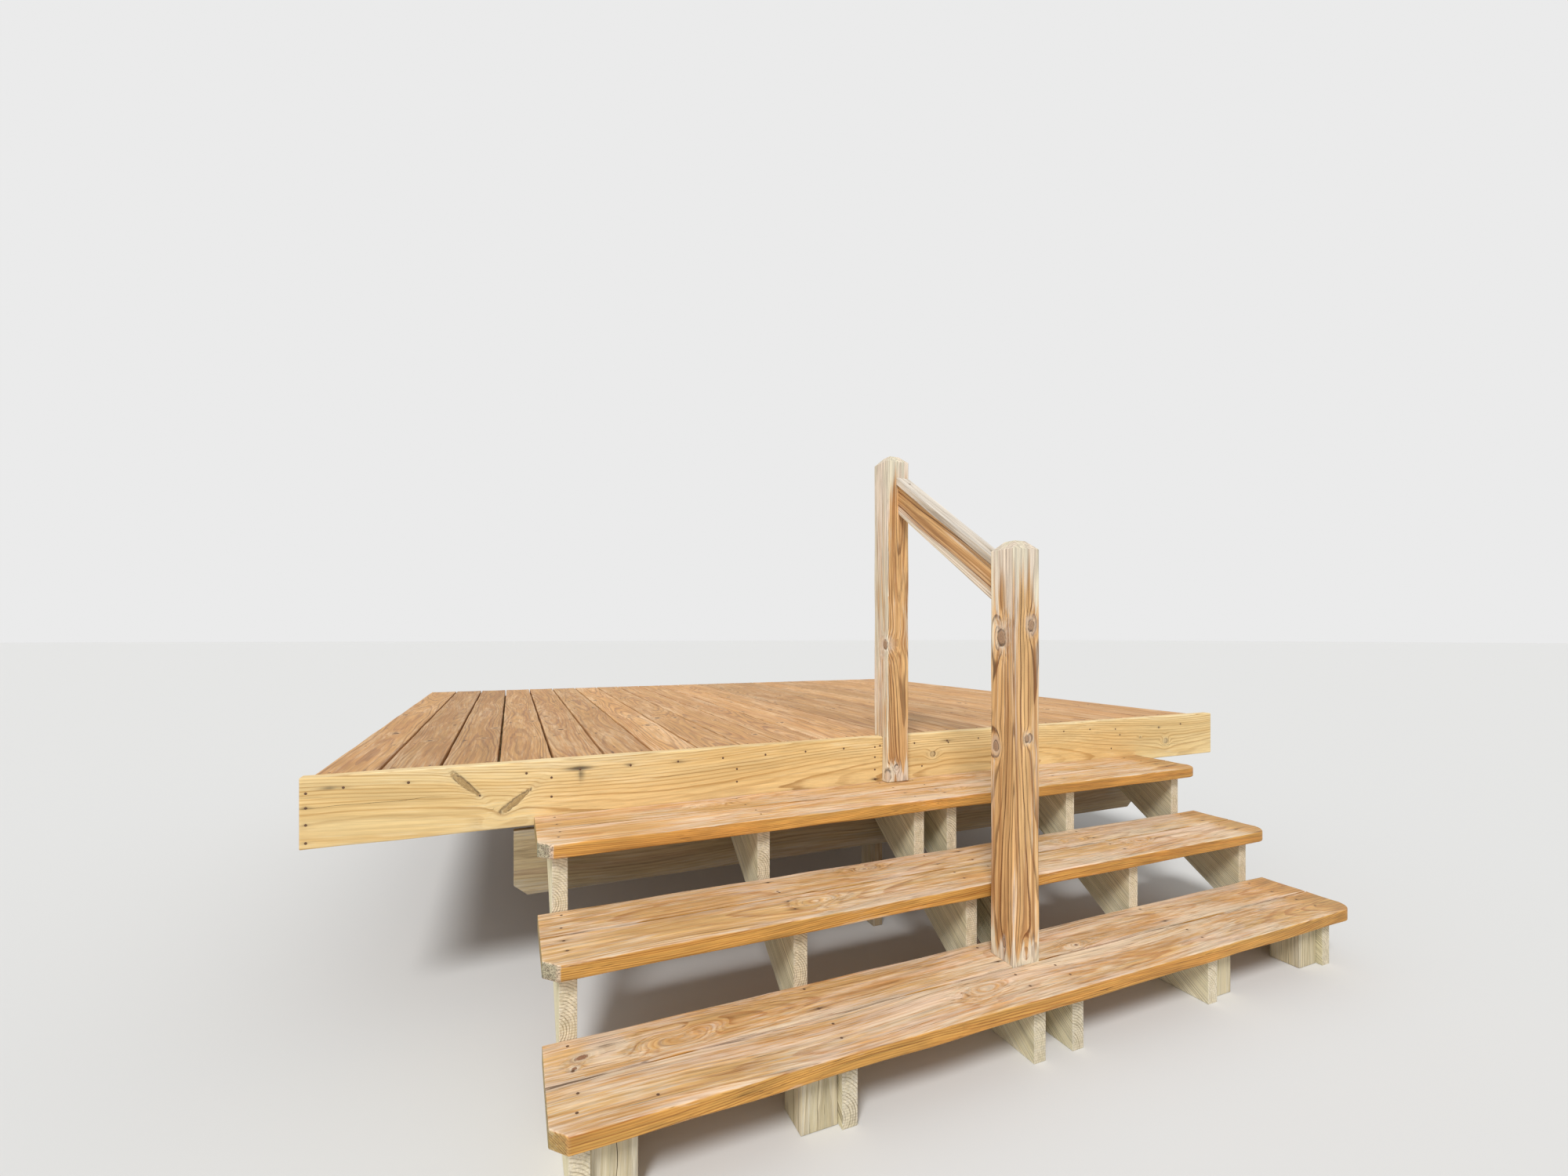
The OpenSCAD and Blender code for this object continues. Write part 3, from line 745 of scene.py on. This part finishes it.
def tread_board(step_number, half_name):
    """One plank of a tread, with its own front edge, nails, knots and wear."""
    node = f"tread_{step_number}_{half_name}"
    seed = 700 + 10 * step_number + len(half_name)
    low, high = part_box(node)
    size = high - low
    cut_from, cut_to = post_low.x - low.x, post_high.x - low.x

    def front_edge(l):
        """The front edge of a tread: a straight cut at the left, a quarter circle at the right."""
        cut = np.clip(CLIP_LEFT - l, 0.0, None)
        past = np.clip(l - (size.x - ROUND_RIGHT), 0.0, ROUND_RIGHT * 0.9999)
        return cut + ROUND_RIGHT - np.sqrt(ROUND_RIGHT ** 2 - past ** 2)

    def notched(l):
        """The front edge of the lowest rear plank: straight, with a square notch for the post."""
        return np.where((l >= cut_from) & (l <= cut_to), post_high.y - low.y, 0.0)

    def trodden(l, s, t):
        """How worn a tread is: in broad patches on top, more towards the right, and pale in
        stretches along the seam. Below nought the wood is drawn darker: at the far end, and on the
        lower faces towards the right."""
        seam = s > PLANK_WIDE - SEAM_EDGE if half_name == "front" else s < SEAM_EDGE
        pale_stretch = slow_wave(l, 0.45, 62 + step_number) + (0.3 if step_number == 1 else -0.5)
        pale_stretch = pale_stretch + 1.2 * bell(l, 0.35) * (step_number == 1)
        seam = seam * np.clip(3.0 * pale_stretch, -0.2, 0.9)
        if node == "tread_1_rear":
            seam = seam + np.exp(-((l - 0.125) / 0.035) ** 2 - ((s - 0.088) / 0.028) ** 2)
        far_end = bell(size.x - l, 0.11)
        at_clip = (half_name == "front") & (s + l < CLIP_LEFT + 0.003)
        sawn_corner = 1.2 * (at_clip & (step_number > 1))
        patches = 0.22 * slow_wave(l, 0.5, seed + 61) * np.cos(16.0 * s)
        less_used = 0.07 * (step_number == 3)
        on_top = t > TREAD_THICK - 0.003
        worn_through = np.where(on_top, 0.08, -0.12) * l + patches + seam + sawn_corner
        return worn_through - far_end - less_used

    more = {}
    if half_name == "front":
        arc = ROUND_RIGHT * (1.0 - np.sin(np.radians(np.linspace(0.0, 90.0, 13))))
        more = {"low": front_edge, "stops": np.append(size.x - arc, [CLIP_LEFT])}
    elif step_number == 1:
        more = {"low": notched,
                "stops": [cut_from - STEP_SIDE, cut_from, cut_to, cut_to + STEP_SIDE]}
    draw = np.random.default_rng(seed)
    nails = [(1, x - low.x + draw.uniform(-0.005, 0.005), y + draw.uniform(-0.006, 0.006))
             for x in stringer_centres for y in tread_nails[half_name]]
    if node == "tread_1_front":
        nails.append((1, 0.197, 0.044))         # a stray one
    board = fill(node, (X, Y, Z), seed, step=0.0125, counts=(8, 36, 10, 8), nails=nails,
                 knots=[(1, *knot) for knot in tread_knots[node]], cup=0.0008, worn=0.0010,
                 ring_drift=0.014, ease=0.005, weather=trodden,
                 snug=(1.0, 0.3) if half_name == "front" else (0.3, 1.0), **more)
    join_sticks(node + "_board", [board], tread_pine, node)
    nail_spots.append(board.heads)


for step_number in range(1, 4):
    for half_name in ("front", "rear"):
        tread_board(step_number, half_name)


# Two square newel posts hold the handrail. The lower one comes up through the lowest tread; the
# upper one stands on the deck, with a lap that hangs in front of the rim. Their tops are
# bevelled on all four sides, and the stain has run dark into the year rings.
POST_BEVEL = 0.025
post_pine = wood("post_pine", (228, 182, 124), (72, 38, 18), (146, 90, 44), (152, 120, 96),
                 (236, 226, 211), ring=0.0064, ring_show=1.0, wear_top=1.0, wear_side=0.08,
                 fibre_show=0.5, band=82.0, band_show=0.9, dash=2.2, late=0.56, end_show=0.3,
                 halo=0.5, shade=0.0, ragged_by=0.6, loose_pale=0.6, tinge=(222, 226, 203),
                 rough=0.66)


def newel(node, seed, knots, cracks, pith, pale_at, smears=(), lap_high=0.0, lap_thick=0.0,
          pale_left=0.0):
    """A square post. The section narrows on all four sides over its last stretch for the bevelled
    top, and below `lap_high` only `lap_thick` of its depth is left, to hang in front of the rim.
    It is pale round `pale_at`, and on its left face by `pale_left`."""
    low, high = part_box(node)
    size = high - low
    shoulder, beside = size.z - POST_BEVEL, 0.0012

    def bevel(l):
        return np.clip(l - shoulder, 0.0, POST_BEVEL)

    def back_face(l):
        return np.where(l < lap_high, lap_thick, size.y) - bevel(l)

    def bleached(l, s, t):
        """The top of the post is bleached, and so is a short stretch where it meets a tread."""
        uneven = 0.09 * slow_wave(s + 0.7 * t, 0.035, seed + 71)
        top_part = np.clip((l - size.z + 0.30 + uneven) / 0.32, 0.0, 1.0)
        foot_part = bell(l - pale_at + 0.5 * uneven, 0.04)
        return 1.5 * top_part ** 2 + 1.1 * foot_part + pale_left * (s < 0.004)

    stops = [shoulder - beside, shoulder, shoulder + beside]
    if lap_high:
        stops += [lap_high - STEP_SIDE, lap_high + STEP_SIDE]
    return fill(node, (Z, X, Y), seed, step=0.010, counts=(20, 22, 24, 28), weather=bleached,
                stops=stops, knots=knots, cracks=cracks, smears=smears, pith=pith, swell=0.9,
                low=bevel, high=lambda l: size.x - bevel(l), near=bevel, far=back_face,
                worn=0.0007, blunt=0.0025)


lower_newel = newel(
    "newel_lower", 801, pith=(0.080, 0.086), pale_at=0.18,
    knots=[(2, 1.046, 0.047, 0.0155, 1.5, 180.0, 0.8), (2, 0.751, 0.068, 0.0105, 1.5, 0.0, 0),
           (2, 0.226, 0.036, 0.005, 2.6, 0.0, 0), (3, 1.078, 0.060, 0.011, 1.5, 180.0, 0.6),
           (3, 0.776, 0.046, 0.0085, 1.2, 180.0, 0.5), (3, 0.208, 0.043, 0.015, 1.6, 0.0, -1)],
    cracks=[(3, -0.42, 0.35, 1.24, 0.0009, 0.004), (2, 0.30, 0.55, 1.22, 0.0008, 0.003)],
    smears=[(3, 0.246, 0.067, 0.020, 0.0105, 0.55), (3, 0.700, 0.073, 0.022, 0.006, 0.35),
            (3, 0.640, 0.062, 0.014, 0.005, 0.3)])
join_sticks("newel_lower_post", [lower_newel], post_pine, "newel_lower")
upper_newel = newel(
    "newel_upper", 802, pith=(0.060, -0.034), pale_at=0.02, lap_high=0.158, lap_thick=0.036,
    pale_left=0.6,
    knots=[(2, 0.486, 0.015, 0.014, 1.25, 180.0, 0.6), (3, 0.023, 0.001, 0.015, 1.5, 0.0, 1),
           (3, 0.0505, 0.040, 0.0085, 1.15, -20.0, 1)],
    cracks=[(2, 0.15, 0.50, 1.12, 0.0010, 0.004), (3, 0.25, 0.20, 0.80, 0.0008, 0.003)])
join_sticks("newel_upper_post", [upper_newel], post_pine, "newel_upper")


# The handrail is a plank on edge between the posts with a flat cap nailed on top. The cap takes
# all the weather and has gone silver grey; the rail under it has kept its stain.
cap_pine = wood("cap_pine", (206, 190, 166), (118, 102, 86), (176, 156, 132), (84, 66, 50),
                (222, 214, 203), ring=0.0052, ring_show=0.9, wear_top=0.8, wear_side=0.5,
                fibre_show=0.5, band=50.0, dash=2.6, late=0.45, shade=0.0, rough=0.8)


def sloping_bar(node, seed, upright, **more):
    """A bar that climbs from one post to the other with upright ends: its log runs up the slope,
    its second axis is upright and its third goes to the right."""
    low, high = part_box(node)
    size = high - low
    climb = (size.z - upright) / size.y
    return stick(((0, 1, climb), Z, X), tuple(low), size.y, upright, size.x, seed, step=0.012,
                 counts=(16, 20, 16, 24), ease=0.003, blunt=0.0008, worn=0.0005, **more)


def bleached_below(l, s, t):
    """The rail is bleached along its lower edge and has kept its stain above."""
    return 0.9 * np.clip(1.0 - s / 0.05, 0.0, 1.0)


cap_low, cap_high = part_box("rail_cap")
under_low, under_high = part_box("rail_under")
cap_bar = sloping_bar("rail_cap", 815, cap_high.z - under_high.z,
                      nails=[(0, 0.055, 0.024), (0, 0.485, 0.027)])
join_sticks("rail_cap_bar", [cap_bar], cap_pine, "rail_cap")
under_bar = sloping_bar("rail_under", 812, cap_low.z - under_low.z, weather=bleached_below)
join_sticks("rail_under_bar", [under_bar], post_pine, "rail_under")
nail_spots.append(cap_bar.heads)


# The nails are plain round iron ones. Their heads have been driven a little below the wood and
# have rusted dark.
NAIL_RADIUS, NAIL_FOOT, NAIL_DOME = 0.0042, -0.0016, 0.001
nail_iron, iron = new_material("nail_iron")
place_on_nail = add_node(iron, "TexCoord").outputs["Object"]
rust = add_node(iron, "TexNoise", (("Scale", 260.0), ("Vector", place_on_nail))).outputs[0]
rust_tones = ((0, rust), (6, colour(90, 70, 55)), (7, colour(124, 90, 64)))
rust_tone = add_node(iron, "Mix", rust_tones, data_type="RGBA").outputs[2]
add_surface(iron, (("Base Color", rust_tone), ("Roughness", 0.6), ("Metallic", 0.35)))


def nail_heads(name, spots):
    """All nail heads as one object. Each is three rings turned round its own axis, a foot hidden
    in the wood, a rim and a low shoulder, closed by a point in the middle of the foot and one at
    the top of the dome."""
    middle, normal = spots[:, :3], spots[:, 3:]
    side = np.cross(normal, [0.31, 0.55, 0.77])
    side /= np.linalg.norm(side, axis=1)[:, None]
    other = np.cross(normal, side)
    sides = 10
    turn = np.arange(sides) * 2.0 * np.pi / sides
    rings = np.array([[0.80, NAIL_FOOT], [1.0, 0.0002], [0.62, 0.0008]])
    circle = side[:, None] * np.cos(turn)[:, None] + other[:, None] * np.sin(turn)[:, None]
    verts = middle[:, None, None] + NAIL_RADIUS * rings[:, 0, None, None] * circle[:, None]
    verts = verts + rings[:, 1, None, None] * normal[:, None, None]
    foot, dome = middle + NAIL_FOOT * normal, middle + NAIL_DOME * normal
    verts = np.concatenate([verts.reshape(len(spots), -1, 3), foot[:, None], dome[:, None]], 1)
    first, second, third, end = np.arange(4) * sides
    j = np.arange(sides)
    following = (j + 1) % sides
    walls = np.concatenate([np.stack([a + j, a + following, b + following, b + j], 1)
                            for a, b in ((first, second), (second, third))])
    caps = np.concatenate([np.stack([0 * j + end, following, j], 1),
                           np.stack([third + j, third + following, 0 * j + end + 1], 1)])
    step_to = (end + 2) * np.arange(len(spots))[:, None, None]
    faces = [(face[None] + step_to).reshape(-1, face.shape[1]).tolist() for face in (walls, caps)]
    mesh = bpy.data.meshes.new(name)
    mesh.from_pydata(verts.reshape(-1, 3).tolist(), [], faces[0] + faces[1])
    mesh.shade_smooth()
    mesh.materials.append(nail_iron)
    piece = add_object(name, mesh)
    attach(piece, "root")


nail_heads("nail_heads", np.concatenate(nail_spots))


# The studio: a plain pale floor, a pale backdrop of the world's own colour, a wide soft lamp
# from the front left, and even light from all round.
FLOOR_REACH = 150.0
floor_z = cad_box[0].z - 0.0004
floor_mesh = bpy.data.meshes.new("floor")
floor_mesh.from_pydata([(FLOOR_REACH * x, FLOOR_REACH * y, floor_z)
                        for x, y in ((-1, -1), (1, -1), (1, 1), (-1, 1))], [], [(0, 1, 2, 3)])
floor = add_object("floor", floor_mesh)
floor_paint, paint = new_material("floor_paint")
add_surface(paint, (("Base Color", (0.72, 0.72, 0.71, 1.0)), ("Roughness", 0.9),
                    ("Specular IOR Level", 0.1)))
floor_mesh.materials.append(floor_paint)

lamp_data = bpy.data.lights.new("key", "SUN")
lamp_data.energy = 2.3
lamp_data.angle = np.radians(16.0)
lamp = add_object("key", lamp_data)
lamp.rotation_euler = (np.radians(42.0), 0.0, np.radians(-38.0))

world = bpy.data.worlds.new("studio")
world.use_nodes = True
studio = world.node_tree
studio.nodes.clear()
white, backdrop_grey = (1.0, 1.0, 1.0, 1.0), (0.83, 0.83, 0.83, 1.0)
even_light = add_node(studio, "Background", (("Color", white), ("Strength", 0.55))).outputs[0]
backdrop = add_node(studio, "Background", [("Color", backdrop_grey)]).outputs[0]
rays = add_node(studio, "LightPath").outputs
seen = rays["Is Camera Ray"]
for ray in ("Is Glossy Ray", "Is Transmission Ray"):
    seen = add_node(studio, "Math", ((0, seen), (1, rays[ray])), operation="MAXIMUM").outputs[0]
shown = add_node(studio, "MixShader", ((0, seen), (1, even_light), (2, backdrop))).outputs[0]
add_node(studio, "OutputWorld", [(0, shown)])
bpy.context.scene.world = world
bpy.context.scene.view_settings.view_transform = "Standard"
